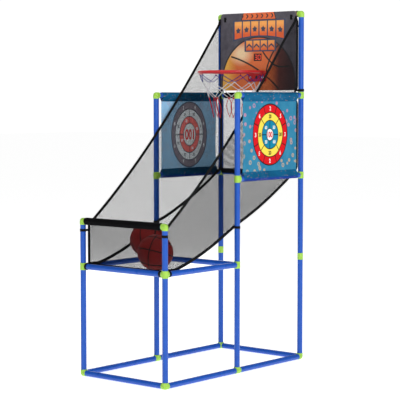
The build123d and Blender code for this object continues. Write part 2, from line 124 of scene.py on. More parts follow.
TUBE_R = (high("front_rail_tube").z - low("front_rail_tube").z) / 2
HALF_WIDTH = high("front_posts_upper").x - TUBE_R
FRONT_Y = middle("front_posts_upper").y
MID_Y = middle("mid_posts_upper").y
REAR_Y = middle("top_tube").y
RAIL_Z = middle("front_rail_tube").z
TABLE_Z = middle("table_front_tube").z
MIDDLE_Z = middle("middle_rear_tube").z
UPPER_Z = middle("upper_rear_tube").z
TOP_Z = middle("top_tube").z


# ----------------------------------------------------------- shaders
def linear(red, green, blue):
    """Linear colour of a colour given as screen values from 0 to 255."""
    shares = (c / 255 for c in (red, green, blue))
    return tuple(s / 12.92 if s < 0.04 else ((s + 0.055) / 1.055) ** 2.4 for s in shares) + (1.0,)


class Value:
    """A number that varies over a surface. Arithmetic on it adds shader nodes."""

    def __init__(self, shader, socket):
        self.shader = shader
        self.socket = socket

    def math(self, operation, *others, clamp=False):
        return self.shader.math(operation, self, *others, clamp=clamp)

    def __add__(self, other):
        return self.math("ADD", other)

    def __sub__(self, other):
        return self.math("SUBTRACT", other)

    def __rsub__(self, other):
        return self.shader.math("SUBTRACT", other, self)

    def __mul__(self, other):
        return self.math("MULTIPLY", other)

    def __truediv__(self, other):
        return self.math("DIVIDE", other)

    def __abs__(self):
        return self.math("ABSOLUTE")

    __radd__ = __add__
    __rmul__ = __mul__

    def sin(self):
        return self.math("SINE")

    def least(self, other):
        return self.math("MINIMUM", other)

    def most(self, other):
        return self.math("MAXIMUM", other)

    def wave(self, period):
        """A sine of this period."""
        return (self * (2 * pi / period)).sin()

    def nearest(self, period):
        """Signed distance to the nearest whole multiple of a period."""
        return self.math("WRAP", period / 2, -period / 2)

    def over(self, edge, soft=0.0004):
        """Mask: 1 above an edge, 0 below it."""
        return self.math("MULTIPLY_ADD", 1 / soft, 0.5 - edge / soft, clamp=True)

    def under(self, edge, soft=0.0004):
        """Mask: 1 below an edge, 0 above it."""
        return self.math("MULTIPLY_ADD", -1 / soft, 0.5 + edge / soft, clamp=True)

    def between(self, start, end, soft=0.0004):
        return self.over(start, soft) * self.under(end, soft)


class Shader:
    """A node material with one Principled shader and formulas on the surface's own coordinates."""

    def __init__(self, name, **settings):
        self.material = bpy.data.materials.new(name)
        self.material.use_nodes = True
        self.tree = self.material.node_tree
        self.surface = self.tree.nodes["Principled BSDF"]
        self.place = self.node("ShaderNodeTexCoord").outputs["Object"]
        split = self.node("ShaderNodeSeparateXYZ")
        self.join(self.place, split.inputs[0])
        self.x, self.y, self.z = (Value(self, output) for output in split.outputs)
        for key, value in settings.items():
            self.surface.inputs[key.replace("_", " ").title().replace("Ior", "IOR")].default_value = value

    def node(self, kind):
        return self.tree.nodes.new(kind)

    def join(self, source, target):
        self.tree.links.new(source.socket if isinstance(source, Value) else source, target)

    def put(self, source, target):
        """Feed an input with a number, another node's output, or a colour as three screen values."""
        if isinstance(source, (Value, bpy.types.NodeSocket)):
            self.join(source, target)
        elif isinstance(source, tuple) and len(source) == 3:
            target.default_value = linear(*source)
        else:
            target.default_value = source

    def math(self, operation, *terms, clamp=False):
        node = self.node("ShaderNodeMath")
        node.operation = operation
        node.use_clamp = clamp
        for term, target in zip(terms, node.inputs):
            self.put(term, target)
        return Value(self, node.outputs[0])

    def flat(self):
        """The two coordinates, in metres, of the cut cloth that the piece was made from."""
        node = self.node("ShaderNodeUVMap")
        node.uv_map = "flat"
        split = self.node("ShaderNodeSeparateXYZ")
        self.join(node.outputs[0], split.inputs[0])
        return Value(self, split.outputs[0]), Value(self, split.outputs[1])

    def off_seam(self):
        """Distance from the nearest seam of a ball, as a share of its radius."""
        node = self.node("ShaderNodeAttribute")
        node.attribute_name = "off_seam"
        return Value(self, node.outputs["Fac"])

    def noise(self, size, detail=2.0, stretch=(1, 1, 1)):
        """Noise around 0.5 whose features are about this size."""
        mapping = self.node("ShaderNodeMapping")
        self.join(self.place, mapping.inputs[0])
        mapping.inputs["Scale"].default_value = stretch
        node = self.node("ShaderNodeTexNoise")
        self.join(mapping.outputs[0], node.inputs["Vector"])
        node.inputs["Scale"].default_value = 1 / size
        node.inputs["Detail"].default_value = detail
        return Value(self, node.outputs[0])

    def cells(self, size, feature="F1"):
        """Distance to the nearest of scattered points, as a share of their spacing."""
        node = self.node("ShaderNodeTexVoronoi")
        node.feature = feature
        self.join(self.place, node.inputs["Vector"])
        node.inputs["Scale"].default_value = 1 / size
        return Value(self, node.outputs["Distance"])

    def mix(self, mask, below, above):
        node = self.node("ShaderNodeMix")
        node.data_type = "RGBA"
        self.put(mask, node.inputs[0])
        self.put(below, node.inputs[6])
        self.put(above, node.inputs[7])
        return node.outputs[2]

    def layers(self, ground, *coats):
        """Colour of a ground with coats of (mask, colour) over it."""
        for mask, colour in coats:
            ground = self.mix(mask, ground, colour)
        return ground

    def finish(self, colour, roughness=None, bump=None, height=0.0002, alpha=None, glows=False):
        self.put(colour, self.surface.inputs["Base Color"])
        if glows:
            self.put(colour, self.surface.inputs["Emission Color"])
        if roughness is not None:
            self.put(roughness, self.surface.inputs["Roughness"])
        if alpha is not None:
            self.put(alpha, self.surface.inputs["Alpha"])
        if bump is not None:
            node = self.node("ShaderNodeBump")
            node.inputs["Strength"].default_value = 1.0
            node.inputs["Distance"].default_value = height
            self.join(bump, node.inputs["Height"])
            self.join(node.outputs[0], self.surface.inputs["Normal"])
        return self.material


def plain_finish(name, dark, light, grain, roughness, height, **settings):
    """Moulded, painted or plated surface: slight mottling, fine grain, and scuffs that dull it."""
    s = Shader(name, **settings)
    mottle = s.noise(grain * 25, detail=4)
    scuffs = s.noise(grain * 8, detail=6, stretch=(1, 1, 0.25)).over(0.62, 0.12)
    colour = s.mix(mottle.over(0.5, 0.5), dark, light)
    return s.finish(
        colour,
        roughness=mottle * 0.10 + scuffs * 0.14 + roughness,
        bump=s.noise(grain, detail=3) + mottle * 2.0,
        height=height,
    )


def webbing_finish():
    """Black tape: fine cross ribs, and a dashed line of stitches along each edge."""
    s = Shader("black_webbing", specular_ior_level=0.12)
    along, across = s.flat()
    ribs = along.wave(0.0011)
    thread = across.wave(0.0009)
    dash = along.nearest(0.0034).between(-0.0012, 0.0012)
    stitch = abs(abs(across) - 0.0022).under(0.00035, 0.0002) * dash
    fade = s.noise(0.02, detail=4)
    colour = s.layers(
        s.mix(fade.over(0.5, 0.6), (6, 6, 7), (14, 14, 15)),
        (ribs.over(0.2, 0.8) * 0.35, (6, 6, 7)),
        (stitch, (48, 48, 50)),
    )
    bump = ribs * 0.5 + thread * 0.3 + stitch
    return s.finish(colour, roughness=fade * 0.1 + 0.66, bump=bump, height=0.0003)


NET_PITCH = 0.0027
THREAD_HALF = 0.00036


def mesh_finish():
    """Knitted net: two diagonal families of thread with a small knot where they cross."""
    s = Shader("black_net", specular_ior_level=0.0)
    along, across = s.flat()
    first = abs((along + across).nearest(NET_PITCH * sqrt(2)))
    second = abs((along - across).nearest(NET_PITCH * sqrt(2)))
    reach = first.least(second) * (1 / sqrt(2))
    knot = (first + second).under(0.0011, 0.0001)
    thread = reach.under(THREAD_HALF, 0.00006).most(knot)
    twist = along.wave(0.0006)
    tone = s.noise(0.05, detail=3)
    colour = s.mix(tone, (4, 4, 5), (12, 12, 13))
    return s.finish(colour, roughness=tone * 0.1 + 0.7, bump=twist * 0.3 + knot, alpha=thread)


def foam_finish():
    """Smooth knit cover over foam."""
    s = Shader("black_foam", specular_ior_level=0.04)
    along, around = s.flat()
    knit = along.wave(0.0013) * around.wave(0.0013)
    tone = s.noise(0.03, detail=4)
    colour = s.mix(tone.over(0.5, 0.6), (5, 5, 6), (11, 11, 13))
    return s.finish(colour, roughness=tone * 0.12 + 0.55, bump=knit * 0.6 + tone * 2.0, height=0.0003)


# ------------------------------------------------- print on the cloths
CLOTH_MIDDLE_Z = (MIDDLE_Z + UPPER_Z) / 2
WHITE = (244, 244, 240)
INK = (20, 22, 26)
LINE = (INK, (78, 84, 94))
WEAVE = 0.0007
SLEEVE_DEPTH = 0.025
# Painted light: the inside face of each cloth glows, standing in for daylight that comes through the thin
# cloth; the outside face doesn't glow.
PAINTED_GLOW_THROUGH = (0.0, 0.26)
# Each target: its half height, its width as a share of its height, how far its middle is above the
# cloth's, and its rings from the outside in: outer edge as a share of the half height, colours on
# the outside and the inside of the cloth, number of fields, and turn of their dividers in degrees.
# The inside ring colours are paler where the print shows through, and also lightened as painted light
# coming through the cloth.
TARGETS = {
    "right": {
        "radius": 0.120,
        "squeeze": 0.925,
        "rise": 0.006,
        "rings": (
            (1.0, ((216, 18, 28), (206, 112, 110)), 8, 22.5),
            (0.73, ((248, 222, 84), (216, 206, 152)), 4, 45),
            (0.47, ((14, 132, 166), (92, 150, 172)), 4, 0),
            (0.20, (WHITE, (214, 222, 224)), 0, 0),
        ),
    },
    "left": {
        "radius": 0.133,
        "squeeze": 0.836,
        "rise": 0.0,
        "rings": (
            (1.0, ((38, 40, 52), (126, 120, 130)), 0, 0),
            (0.79, ((236, 238, 234), (214, 222, 226)), 4, 0),
            (0.56, ((218, 40, 44), (234, 120, 116)), 4, 0),
            (0.35, (WHITE, (218, 228, 228)), 0, 0),
        ),
    },
}
# Pairs again: the colour on the outside and on the inside of the cloth. The inside ground is paler where
# the print shows through, and also lightened as painted light coming through the cloth.
GROUND = ((38, 118, 156), (132, 176, 210))
GROUND_LIGHT = ((62, 142, 174), (146, 190, 222))
BUBBLES = ((206, 136, 160), (168, 152, 168))
BUBBLES_WARM = ((206, 172, 128), (170, 170, 168))
SLEEVE = ((4, 84, 124), (4, 40, 104))
SLEEVE_LIGHT = ((10, 98, 140), (8, 50, 118))
LOWER_SLEEVE = ((2, 50, 138), (4, 40, 98))
SPECKS = ((226, 160, 76), (176, 130, 84))


def dashes(off, along):
    """Mask of a line of stitches: off is the distance from the line."""
    return off.under(0.0005, 0.0003) * along.nearest(0.0036).between(-0.0013, 0.0013)


def target_finish(name, which, face):
    """Printed plain-weave cloth with a ring target, bubbles on the ground and specked sleeves.
    face is 0 for the outside and 1 for the inside, where the print shows through paler, and where ground
    and print are also lightened and glow as painted light coming through the cloth.
    """
    style = TARGETS[which]
    s = Shader(name, specular_ior_level=0.1, emission_strength=PAINTED_GLOW_THROUGH[face])
    y = s.y - middle("target_cloth_" + which).y
    z = s.z - CLOTH_MIDDLE_Z
    wide = y / style["squeeze"]
    tall = z - style["rise"]
    radius = (wide * wide + tall * tall).math("SQRT")
    angle = tall.math("ARCTAN2", wide)
    strength = (0.7, 0.4)[face]
    bubble = s.cells(0.029)
    drift = s.noise(0.05, detail=3)
    colour = s.layers(
        s.mix(drift.over(0.5, 0.5), GROUND[face], GROUND_LIGHT[face]),
        (
            bubble.between(0.15, 0.30, 0.06) * strength,
            s.mix(z.under(0.0, 0.14), BUBBLES[face], BUBBLES_WARM[face]),
        ),
        (s.cells(0.011).under(0.10, 0.05) * 0.5, GROUND_LIGHT[face]),
        (radius.under(style["radius"] + 0.0030), LINE[face]),
    )
    rings = style["rings"]
    for (share, shown, fields, turn), (inner, *_) in zip(rings, rings[1:] + ((0.0,),)):
        edge = share * style["radius"]
        colour = s.layers(
            colour, (radius.under(edge + 0.0020), LINE[face]), (radius.under(edge - 0.0016), shown[face])
        )
        if fields:
            off = abs((angle - radians(turn)).nearest(2 * pi / fields)).sin() * radius
            divider = off.under(0.0018) * radius.between(inner * style["radius"], edge)
            colour = s.layers(colour, (divider, LINE[face]))
    half_height = (UPPER_Z - MIDDLE_Z) / 2
    sleeve = s.layers(
        s.mix(drift.over(0.5, 0.3), SLEEVE[face], SLEEVE_LIGHT[face]),
        (z.under(-half_height, 0.01), LOWER_SLEEVE[face]),
        (s.cells(0.010).under(0.18, 0.06) * 0.5, SPECKS[face]),
    )
    colour = s.layers(colour, (abs(z).over(half_height - SLEEVE_DEPTH, 0.0006), sleeve))
    weave = s.y.wave(WEAVE) * s.z.wave(WEAVE)
    seam = dashes(abs(abs(z) - (half_height - SLEEVE_DEPTH - 0.0012)), s.y)
    half_width = (high("target_cloth_right").y - low("target_cloth_right").y) / 2
    hem = dashes(abs(abs(y) - (half_width - 0.0065)), s.z)
    stitches = seam.most(hem)
    colour = s.layers(colour, (weave.over(0.3, 0.6) * 0.08, LINE[face]), (stitches, GROUND_LIGHT[face]))
    return s.finish(colour, roughness=drift * 0.1 + 0.6, bump=weave * 0.6 + stitches * 1.5, glows=True)


# --------------------------------------------------- print on the board
def circle_through(a, b, c):
    """Centre and radius of the circle through three points of a plane."""
    (ax, az), (bx, bz), (cx, cz) = a, b, c
    d = 2 * (ax * (bz - cz) + bx * (cz - az) + cx * (az - bz))
    a2, b2, c2 = ax * ax + az * az, bx * bx + bz * bz, cx * cx + cz * cz
    x = (a2 * (bz - cz) + b2 * (cz - az) + c2 * (az - bz)) / d
    z = (a2 * (cx - bx) + b2 * (ax - cx) + c2 * (bx - ax)) / d
    return x, z, hypot(ax - x, az - z)


def arc_mask(s, points, half_width):
    """A line of this half width along the arc through three (x, z) points."""
    cx, cz, radius = circle_through(*points)
    x, z = s.x - cx, s.z - cz
    off = abs((x * x + z * z).math("SQRT") - radius)
    xs, zs = zip(*points)
    inside = s.x.between(min(xs) - half_width, max(xs) + half_width) * s.z.between(
        min(zs) - half_width, max(zs) + half_width
    )
    return off.under(half_width, 0.0009) * inside


def star_mask(x, z, size):
    """A five-pointed star round the point where x and z are 0."""
    angle = x.math("ARCTAN2", z)
    radius = (x * x + z * z).math("SQRT")
    off = abs(angle.nearest(radians(72)))
    edge = off.sin() * 1.38 + (off + pi / 2).sin()
    return (radius * edge).under(size, 0.0008)


def printed_ball(s, from_ball):
    """The ball on the board, lit from the upper left, with four seams."""
    light_x, light_z = s.x + 0.088, s.z - 1.255
    from_light = (light_x * light_x * 1.3 + light_z * light_z * 2.2).math("SQRT")
    ball = s.layers(
        s.mix(from_ball.over(0.12, 0.14), (238, 122, 62), (214, 96, 40)),
        (s.x.over(0.085, 0.05), (96, 44, 38)),
        (s.x.over(0.135, 0.05), (52, 24, 30)),
        (s.x.under(-0.135, 0.05), (238, 176, 72)),
        (from_light.under(0.05, 0.06) * 0.85, (250, 226, 180)),
        (s.cells(0.0042).under(0.3, 0.2) * 0.18, (120, 50, 20)),
    )
    for points in (
        ((-0.138, 1.244), (0.000, 1.189), (0.107, 1.111)),
        ((0.107, 1.289), (0.054, 1.211), (0.042, 1.159)),
        ((0.023, 1.269), (0.046, 1.240), (0.073, 1.216)),
        ((0.073, 1.214), (0.115, 1.200), (0.157, 1.202)),
    ):
        ball = s.layers(ball, (arc_mask(s, points, 0.0034), (22, 28, 24)))
    return ball


def printed_blocks(s, colour, first, last, count, row_top, row_low, bend):
    """A row of blocks from x first to x last. A row that bends holds stars, a straight one chevrons."""
    pitch = (last - first) / count
    from_centre = s.x - (first + last) / 2
    local = (s.x - (first + pitch / 2)).nearest(pitch)
    drop = from_centre * from_centre * bend

    def block(grow):
        return (
            abs(local).under(pitch / 2 - 0.0030 + grow)
            * abs(from_centre).under((last - first) / 2 + grow)
            * (s.z + drop).over(row_low - grow)
            * s.z.under(row_top + grow)
        )

    height = s.z - ((row_top + row_low) / 2 - (0.003 if bend else 0.0))
    if bend:
        sign = star_mask(local, height + drop * 0.5, 0.0135)
    else:
        sign = abs(height + abs(local) * 0.8 - 0.004).under(0.0042)
    return s.layers(
        colour,
        (block(0.0055), (52, 66, 92)),
        (block(0.0), s.mix(height.over(0.0, 0.04), (226, 92, 36), (248, 168, 84))),
        (block(-0.002) * sign, (58, 62, 82)),
    )


def board_finish():
    """Fibreboard: a printed front with a ball and rows of blocks, plain brown edges and back."""
    s = Shader("printed_board", coat_weight=0.25, coat_roughness=0.25)
    front = s.y.under(low("backboard").y + 0.0003, 0.0002)
    top = high("backboard").z
    # Speckled slate ground, and on it the ball, which the lower edge cuts off.
    grime = s.noise(0.03, detail=6)
    ball_x, ball_z, ball_radius = 0.002, low("backboard").z + 0.029, 0.188
    bx, bz = s.x - ball_x, s.z - ball_z
    from_ball = (bx * bx + bz * bz).math("SQRT")
    colour = s.layers(
        s.mix(grime.over(0.5, 0.5), (62, 58, 68), (92, 88, 98)),
        (s.noise(0.004, detail=3).over(0.62, 0.1) * 0.5, (40, 38, 46)),
        (from_ball.under(ball_radius + 0.006, 0.004), (34, 28, 34)),
        (from_ball.under(ball_radius), printed_ball(s, from_ball)),
    )
    # A banner with chevrons at the top edge.
    spread = abs(s.x - 0.004) - (top - s.z) * 0.35
    banner = s.z.over(top - 0.028) * spread.under(0.078)
    chevrons = (s.x + abs(s.z - (top - 0.014)) * 0.8).nearest(0.026).between(-0.0035, 0.0035)
    colour = s.layers(
        colour,
        (s.z.over(top - 0.031) * spread.under(0.082), (30, 26, 32)),
        (banner, s.mix(grime.over(0.5, 0.4), (232, 112, 52), (214, 88, 40))),
        (banner * chevrons * s.z.between(top - 0.023, top - 0.005), (46, 38, 46)),
    )
    colour = printed_blocks(s, colour, -0.125, 0.138, 6, 1.389, 1.330, 0.9)
    colour = printed_blocks(s, colour, -0.064, 0.090, 4, 1.309, 1.269, 0.0)
    wood = s.mix(s.noise(0.003, detail=5, stretch=(1, 3, 1)), (128, 92, 60), (166, 126, 86))
    dots = s.noise(0.0012, detail=2)
    rough = s.math("MULTIPLY_ADD", front, -0.35, 0.78) + grime * 0.08
    return s.finish(s.mix(front, wood, colour), roughness=rough, bump=dots + grime * 1.5, height=0.00015)


# --------------------------------------------------------- other finishes
def ball_finish():
    """Pebbled rubber with smooth black seams; coordinates are the ball's own."""
    s = Shader("ball_rubber", specular_ior_level=0.3)
    seam = s.off_seam().under(0.031, 0.006)
    pebble = s.cells(0.0021)
    wear = s.noise(0.03, detail=5)
    # Painted shade: the rubber is darker in the channels between the pebbles.
    rubber = s.layers(
        s.mix(wear.over(0.5, 0.5), (138, 14, 16), (172, 34, 28)),
        (pebble.over(0.5, 0.4) * 0.4, (92, 12, 14)),
    )
    colour = s.mix(seam, rubber, (6, 6, 6))
    bump = pebble.under(0.42, 0.4) * (1.0 - seam)
    return s.finish(colour, roughness=wear * 0.15 + 0.42, bump=bump, height=0.0006)


def cord_finish():
    """Braided cord in three dyes: violet at the top, white in the middle and red below, with painted shade
    in the grooves of the braid and lighter raised strands.
    """
    s = Shader("net_cord", specular_ior_level=0.2)
    along, around = s.flat()
    braid = (along + around * 1.5).wave(0.0022) * (along - around * 1.5).wave(0.0022)
    wobble = s.noise(0.012, detail=2) * 0.006
    height = s.z + wobble

    # Painted shade: each dye is darker in the grooves of the braid and lighter on its raised strands.
    def shaded_dye(dark, light):
        return s.mix(braid.over(0.0, 0.8), dark, light)

    colour = s.layers(
        shaded_dye((186, 18, 28), (216, 36, 44)),
        (height.over(1.078, 0.004), shaded_dye((206, 206, 212), (244, 244, 246))),
        (height.over(1.139, 0.004), shaded_dye((24, 18, 108), (44, 36, 146))),
    )
    return s.finish(colour, roughness=0.62 + wobble, bump=braid, height=0.0003)


def cell_finish():
    """Printed jacket with a metal end."""
    s = Shader("cell_jacket", roughness=0.35)
    end = abs(s.x).over((high("cells").x - low("cells").x) / 2 - 0.003)
    band = s.x.over(0.008)
    grain = s.noise(0.004, detail=4)
    jacket = s.mix(band, s.mix(grain, (30, 30, 32), (44, 44, 46)), (190, 120, 50))
    colour = s.mix(end, jacket, (190, 192, 196))
    return s.finish(colour, roughness=grain * 0.2 + 0.25, bump=grain, height=0.0001)


def circuit_finish():
    """Solder mask with traces and pads."""
    s = Shader("circuit", coat_weight=0.4, coat_roughness=0.2)
    wander = s.noise(0.02, detail=1) * 0.02
    upright = abs((s.x + wander).nearest(0.004)).under(0.0004, 0.0002)
    level = abs((s.z + wander).nearest(0.005)).under(0.0004, 0.0002)
    traces = upright.most(level)
    pads = s.cells(0.007).under(0.16, 0.04)
    colour = s.layers(
        s.mix(s.noise(0.02), (18, 92, 52), (28, 112, 64)), (traces, (52, 142, 84)), (pads, (196, 178, 120))
    )
    return s.finish(colour, roughness=0.35 + wander, bump=traces + pads, height=0.0001)


# Dark and light colour, size of the grain, roughness, height of the grain, and settings.
PLAIN = {
    "blue_tube": (
        (10, 76, 176), (16, 86, 188), 0.0011, 0.24, 0.00004,
        {"specular_ior_level": 0.35, "coat_weight": 0.12, "coat_roughness": 0.2},
    ),
    "green_connector": (
        (150, 200, 62), (166, 214, 80), 0.0009, 0.30, 0.00008,
        {"subsurface_weight": 0.08, "subsurface_radius": (0.004, 0.006, 0.002)},
    ),
    "red_hoop": (
        (182, 8, 16), (202, 20, 26), 0.0010, 0.26, 0.00006, {"coat_weight": 0.15, "coat_roughness": 0.2}
    ),
    "screw_steel": ((188, 196, 210), (214, 222, 234), 0.0006, 0.26, 0.00005, {"metallic": 0.9}),
    "unit_plastic": ((24, 24, 26), (36, 36, 38), 0.0006, 0.46, 0.00015, {}),
    "display_face": (
        (6, 5, 6), (12, 10, 12), 0.0012, 0.30, 0.00002, {"coat_weight": 0.1, "coat_roughness": 0.05}
    ),
}
FINISH = {
    name: plain_finish(name, dark, light, *sizes, **settings)
    for name, (dark, light, *sizes, settings) in PLAIN.items()
}
FINISH |= {
    "black_webbing": webbing_finish(),
    "black_net": mesh_finish(),
    "black_foam": foam_finish(),
    "printed_board": board_finish(),
    "net_cord": cord_finish(),
    "cell_jacket": cell_finish(),
    "circuit": circuit_finish(),
    "ball_rubber": ball_finish(),
}
FACES = ("outside", "inside")
PRINT = {
    (which, face): target_finish(f"target_{which}_{FACES[face]}", which, face)
    for which in TARGETS
    for face in (0, 1)
}


# ---------------------------------------------------------- mesh making
def make_piece(
    name, points, faces, slot, materials=None, body="root", flat=None, chosen=None, marks=None, smooth=True
):
    """A mesh object that rides on a body. flat holds each point's place on the cut cloth, chosen
    each face's material, and marks each point's distance from a ball's seam.
    """
    mesh = bpy.data.meshes.new(name)
    mesh.from_pydata([tuple(p) for p in points], [], faces)
    for material in materials or [FINISH[slot]]:
        mesh.materials.append(material)
    if flat is not None:
        layer = mesh.uv_layers.new(name="flat")
        for loop in mesh.loops:
            layer.data[loop.index].uv = flat[loop.vertex_index]
    if marks is not None:
        seam = mesh.attributes.new("off_seam", "FLOAT", "POINT")
        seam.data.foreach_set("value", marks)
    for face in mesh.polygons:
        face.use_smooth = smooth
        if chosen is not None:
            face.material_index = chosen[face.index]
    mesh.update()
    obj = put_in_scene(name, mesh)
    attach(obj, body)
    return obj


def lattice_faces(rows, columns, start=0, wrap_rows=False, wrap_columns=False):
    """Quads over a grid of points that is stored row by row."""

    def at(row, column):
        return start + row % rows * columns + column % columns

    return [
        (at(row, column), at(row, column + 1), at(row + 1, column + 1), at(row + 1, column))
        for row in range(rows if wrap_rows else rows - 1)
        for column in range(columns if wrap_columns else columns - 1)
    ]


def make_sheet(name, rows, flat, node):
    """One layer of net over a grid of points, in place of a CAD node."""
    points = [p for row in rows for p in row]
    places = [p for row in flat for p in row]
    net = make_piece(name, points, lattice_faces(len(rows), len(rows[0])), "black_net", flat=places)
    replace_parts(net, node)
    return net


def make_shell(name, rows, flat, thickness, slot, materials):
    """Cloth with an outer and an inner layer and a closed rim; the second material is the inner one's."""
    count, width = len(rows), len(rows[0])
    grid = np.array([[tuple(p) for p in row] for row in rows])
    normal = np.cross(np.gradient(grid, axis=0), np.gradient(grid, axis=1))
    normal /= np.linalg.norm(normal, axis=2, keepdims=True)
    outer = (grid + normal * thickness / 2).reshape(-1, 3)
    inner = (grid - normal * thickness / 2).reshape(-1, 3)
    total = count * width
    outer_faces = [tuple(reversed(f)) for f in lattice_faces(count, width)]
    inner_faces = lattice_faces(count, width, start=total)
    border = (
        list(range(width))
        + [r * width + width - 1 for r in range(1, count)]
        + [(count - 1) * width + c for c in range(width - 2, -1, -1)]
        + [r * width for r in range(count - 2, 0, -1)]
    )
    rim = [(a, b, b + total, a + total) for a, b in zip(border, border[1:] + border[:1])]
    faces = outer_faces + inner_faces + rim
    chosen = [0] * len(outer_faces) + [1] * len(inner_faces) + [0] * len(rim)
    places = [p for row in flat for p in row] * 2
    points = np.concatenate([outer, inner])
    return make_piece(name, points, faces, slot, materials, flat=places, chosen=chosen)


def oval(width, thickness, count=12, power=0.6):
    """Section of a flat tape with rounded edges."""
    section = []
    for index in range(count):
        angle = 2 * pi * index / count
        c, s = cos(angle), sin(angle)
        x, y = (np.sign(t) * abs(t) ** power / 2 for t in (c, s))
        section.append((width * x, thickness * y))
    return section


def circle(radius, count):
    return [(radius * cos(2 * pi * i / count), radius * sin(2 * pi * i / count)) for i in range(count)]


def framed(points, side, closed=False):
    """A run of (point, side, lift), where side is given as a direction or a function of the point."""
    points = [Vector(p) for p in points]
    run = []
    count = len(points)
    for index, point in enumerate(points):
        if closed:
            ahead, behind = points[(index + 1) % count], points[index - 1]
        else:
            ahead, behind = points[min(index + 1, count - 1)], points[max(index - 1, 0)]
        tangent = (ahead - behind).normalized()
        wanted = side(point) if callable(side) else Vector(side)
        lift = tangent.cross(wanted).normalized()
        run.append((point, lift.cross(tangent).normalized(), lift))
    return run


def sweep(name, runs, section, slot="black_webbing", closed=False, swell=None):
    """Carry a closed section along several runs, as one mesh. swell(share) scales it along a run."""
    points, faces, places = [], [], []
    size = len(section)
    for run in runs:
        start = len(points)
        travelled = 0.0
        for index, (point, side, lift) in enumerate(run):
            if index:
                travelled += (point - run[index - 1][0]).length
            scale = swell(index / (len(run) - 1)) if swell else 1.0
            for s, l in section:
                points.append(point + side * (s * scale) + lift * (l * scale))
                places.append((travelled, s))
        faces += lattice_faces(len(run), size, start, wrap_rows=closed, wrap_columns=True)
        if not closed:
            last = start + (len(run) - 1) * size
            faces.append(tuple(range(start + size - 1, start - 1, -1)))
            faces.append(tuple(range(last, last + size)))
    return make_piece(name, points, faces, slot, flat=places)


def steps(start, end, count):
    """Evenly spaced values, both ends included."""
    return [start + (end - start) * i / (count - 1) for i in range(count)]


def line(a, b, spacing=0.012):
    a, b = Vector(a), Vector(b)
    count = max(2, ceil((b - a).length / spacing) + 1)
    return [a.lerp(b, t) for t in steps(0, 1, count)]


def flutter(point, size, depth):
    """Smooth wandering of a point, up to about depth either way."""
    return noise.noise(Vector(point) / size) * depth


# ------------------------------------------------------------ net edges
NET_X = middle("side_net_right").x
NET_LOW, NET_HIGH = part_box("side_net_right")
FLAT_END_Y = NET_LOW.y + 0.055
MID_TIE_Z = RAIL_Z - 0.029
REAR_LOW_Z = NET_HIGH.z - 0.631
FRONT_TOP_Z = RAIL_Z - 0.009
LOWER_SAG = 0.013
UPPER_SAG = 0.038


def hung(y, start, end, sag):
    """Height at y of an edge that sags between two (y, z) points."""
    share = held((y - start[0]) / (end[0] - start[0]))
    slope = (end[1] - start[1]) / (end[0] - start[0])
    return start[1] + share * (end[1] - start[1]) - sag * sqrt(1 + slope * slope) * arch(share)


def lower_edge(y):
    """The seam between a side net and the ramp."""
    tie = (MID_Y, MID_TIE_Z)
    if y <= FLAT_END_Y:
        return NET_LOW.z
    if y <= MID_Y:
        return hung(y, (FLAT_END_Y, NET_LOW.z), tie, LOWER_SAG)
    return hung(y, tie, (NET_HIGH.y, REAR_LOW_Z), LOWER_SAG)


def upper_edge(y):
    return hung(y, (NET_LOW.y, FRONT_TOP_Z), (NET_HIGH.y, NET_HIGH.z), UPPER_SAG)


def drawn_back(y, z, bars):
    """How far the net is drawn to the rear posts: 1 at its edge between these bars, 0 before start_y."""
    start_y = 0.30
    reach = held((y - start_y) / (NET_HIGH.y - start_y))
    from_bar = min(abs(z - bar_z) for bar_z in bars)
    free = held((from_bar - 0.013) / 0.020)
    return reach**2 * free * free * (3 - 2 * free)


def side_net_y(y, z):
    return y + 0.009 * drawn_back(y, z, (UPPER_Z, MIDDLE_Z, TOP_Z))


def side_net_x(side, y, z):
    """The net bellies a little between its edges and is drawn out to the ties on the posts."""
    low_z, high_z = lower_edge(y), upper_edge(y)
    across = (z - low_z) / max(high_z - low_z, 0.01)
    belly = arch(across) * held(min(y - NET_LOW.y, NET_HIGH.y - y) / 0.03)
    wander = flutter((0.4 * side, y, z), 0.16, 0.004) * belly
    folds = flutter((side, (y + z) * 0.35, (z - y) * 2.0), 0.09, 0.0012) * belly
    # At the top it stays drawn out, because it passes between the board's edge and the post.
    pull = 0.0042 * drawn_back(y, z, (UPPER_Z, MIDDLE_Z))
    for tie_y, tie_z in ((MID_Y, MID_TIE_Z), (NET_LOW.y, RAIL_Z - 0.035)):
        away = hypot(y - tie_y, z - tie_z)
        pull = max(pull, 0.004 * (1 - min(away / 0.07, 1.0)) ** 2)
    return side * (NET_X + pull - abs(wander) * 0.6) + folds * side


# ---------------------------------------------------------------- nets
NET_COLUMNS = 150
NET_ROWS = 46


def side_net_point(side, y, z, shift=0.0):
    return Vector((side_net_x(side, y, z), side_net_y(y, z), z + shift))


